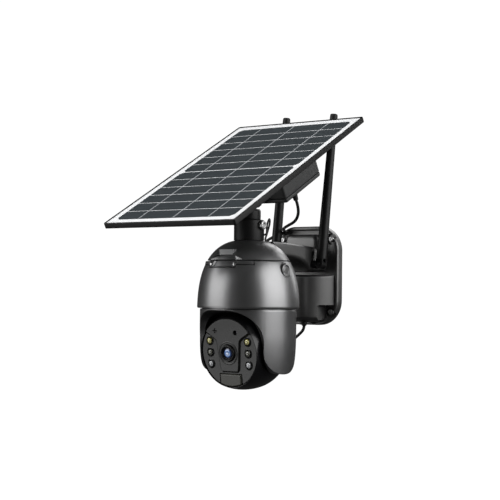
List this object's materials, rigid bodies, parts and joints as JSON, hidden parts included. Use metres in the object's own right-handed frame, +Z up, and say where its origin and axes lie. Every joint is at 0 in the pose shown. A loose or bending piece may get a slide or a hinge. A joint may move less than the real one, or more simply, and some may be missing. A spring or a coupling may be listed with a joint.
{
  "type": "solar-powered security camera",
  "caption": "Wall-mounted pan and tilt security camera with a domed body, folding antennas and a tilting solar panel on top.",
  "frame": {"origin": "centre of the wall plate, on its back face, in the plane of the wall", "axes": "-Y out of the wall, towards the front of the camera; +Z up; +X to the right of a viewer who faces the camera"},
  "size_m": [0.185, 0.2706, 0.3287],
  "materials": {
    "charcoal_shell": "satin charcoal",
    "box_plastic": "satin black",
    "black_plastic": "satin black",
    "head_plastic": "gloss black",
    "rubber": "matt",
    "steel": "plated",
    "circuit_board": "solder mask",
    "nylon": "moulded",
    "solar_laminate": "glossy",
    "lens_glass": "polished",
    "lamp_warm": "clear epoxy",
    "lamp_dark": "clear epoxy",
    "lamp_white": "clear epoxy",
    "smoked_window": "frosted",
    "battery_wrap": "shrink film"
  },
  "bodies": {
    "base": {"bracket_casting": "charcoal_shell", "rear_cover": "black_plastic", "wall_screw_top_left": "steel", "wall_screw_top_right": "steel", "wall_screw_bottom_left": "steel", "wall_screw_bottom_right": "steel", "cord_grommet": "rubber", "camera_pigtail": "rubber", "pigtail_socket": "rubber", "panel_lead_plug": "rubber", "panel_lead": "rubber", "dome_shell": "charcoal_shell", "hatch_cover": "charcoal_shell", "hatch_screw_left": "steel", "hatch_screw_right": "steel", "side_plug": "charcoal_shell", "dome_floor": "black_plastic", "main_board": "circuit_board", "speaker": "black_plastic", "pan_motor": "steel", "clamp_collar": "black_plastic", "collar_lead": "rubber", "antenna_socket_left": "steel", "antenna_socket_right": "steel"},
    "reset_button": {"reset_button": "nylon"},
    "pan_pinion": {"pan_pinion": "nylon"},
    "pan": {"yoke": "charcoal_shell", "pan_gear": "nylon", "tilt_gear": "nylon"},
    "head": {"head_shell": "head_plastic", "face_panel": "head_plastic", "motion_window": "smoked_window", "light_sensor": "lens_glass", "lens_barrel": "head_plastic", "lens_glass": "lens_glass", "image_board": "circuit_board", "lamp_upper_left": "lamp_warm", "lamp_upper_right": "lamp_warm", "lamp_middle_left": "lamp_dark", "lamp_middle_right": "lamp_dark", "lamp_lower_left": "lamp_white", "lamp_lower_right": "lamp_white", "tilt_motor": "steel"},
    "tilt_pinion": {"tilt_pinion": "nylon"},
    "swivel": {"panel_stem": "black_plastic"},
    "clamp_screw": {"clamp_screw": "steel"},
    "tilt_knob": {"tilt_knob": "black_plastic"},
    "panel": {"tilt_bracket": "black_plastic", "panel_frame": "black_plastic", "panel_laminate": "solar_laminate", "battery_box": "box_plastic", "box_lid": "box_plastic", "battery_pack": "battery_wrap", "lead_gland": "rubber"},
    "elbow_left": {"antenna_elbow_left": "black_plastic"},
    "elbow_right": {"antenna_elbow_right": "black_plastic"},
    "whip_left": {"antenna_whip_left": "black_plastic"},
    "whip_right": {"antenna_whip_right": "black_plastic"}
  },
  "joints": [
    {"name": "pan", "type": "hinge", "parent": "base", "child": "pan", "pos_m": [0, -0.125, 0], "axis": [0, 0, 1], "range_deg": [-175, 175]},
    {"name": "tilt", "type": "hinge", "parent": "pan", "child": "head", "pos_m": [0, -0.125, -0.085], "axis": [1, 0, 0], "range_deg": [-17.5, 67.5]},
    {"name": "pan_pinion_spin", "type": "hinge", "parent": "base", "child": "pan_pinion", "pos_m": [-0.03765, -0.125, 0], "axis": [0, 0, 1], "range_deg": [-705, 705]},
    {"name": "tilt_pinion_spin", "type": "hinge", "parent": "head", "child": "tilt_pinion", "pos_m": [0, -0.125, -0.06803], "axis": [1, 0, 0], "range_deg": [-72, 272]},
    {"name": "reset_press", "type": "slide", "parent": "base", "child": "reset_button", "axis": [0, 0, -1], "range_m": [0, 0.00025], "stiffness_N_per_m": 600},
    {"name": "solar_swivel", "type": "hinge", "parent": "base", "child": "swivel", "pos_m": [0, -0.125, 0.06], "axis": [0, 0, 1], "range_deg": [-5, 5]},
    {"name": "solar_tilt", "type": "hinge", "parent": "swivel", "child": "panel", "pos_m": [0, -0.131, 0.084], "axis": [1, 0, 0], "range_deg": [-2, 30], "deforming": ["panel_lead"]},
    {"name": "clamp_screw_turn", "type": "hinge", "parent": "base", "child": "clamp_screw", "pos_m": [0, -0.125, 0.0564], "axis": [1, 0, 0], "range_deg": [0, 180]},
    {"name": "tilt_knob_turn", "type": "hinge", "parent": "swivel", "child": "tilt_knob", "pos_m": [0, -0.131, 0.084], "axis": [1, 0, 0], "range_deg": [0, 180]},
    {"name": "antenna_lean_left", "type": "hinge", "parent": "base", "child": "elbow_left", "pos_m": [-0.0345, -0.028, 0.0132], "axis": [1, 0, 0], "range_deg": [-1, 2.5]},
    {"name": "antenna_lean_right", "type": "hinge", "parent": "base", "child": "elbow_right", "pos_m": [0.0345, -0.028, 0.0132], "axis": [1, 0, 0], "range_deg": [-1, 2.5]},
    {"name": "antenna_fold_left", "type": "hinge", "parent": "elbow_left", "child": "whip_left", "pos_m": [-0.0345, -0.028, 0.0132], "axis": [0, -0.9946, 0.1038], "range_deg": [0, 90.8]},
    {"name": "antenna_fold_right", "type": "hinge", "parent": "elbow_right", "child": "whip_right", "pos_m": [0.0345, -0.028, 0.0132], "axis": [0, 0.9946, -0.1038], "range_deg": [0, 88.7]}
  ],
  "couplings": [
    {"joint": "pan_pinion_spin", "follows": "pan", "ratio": -4},
    {"joint": "tilt_pinion_spin", "follows": "tilt", "ratio": 4}
  ]
}
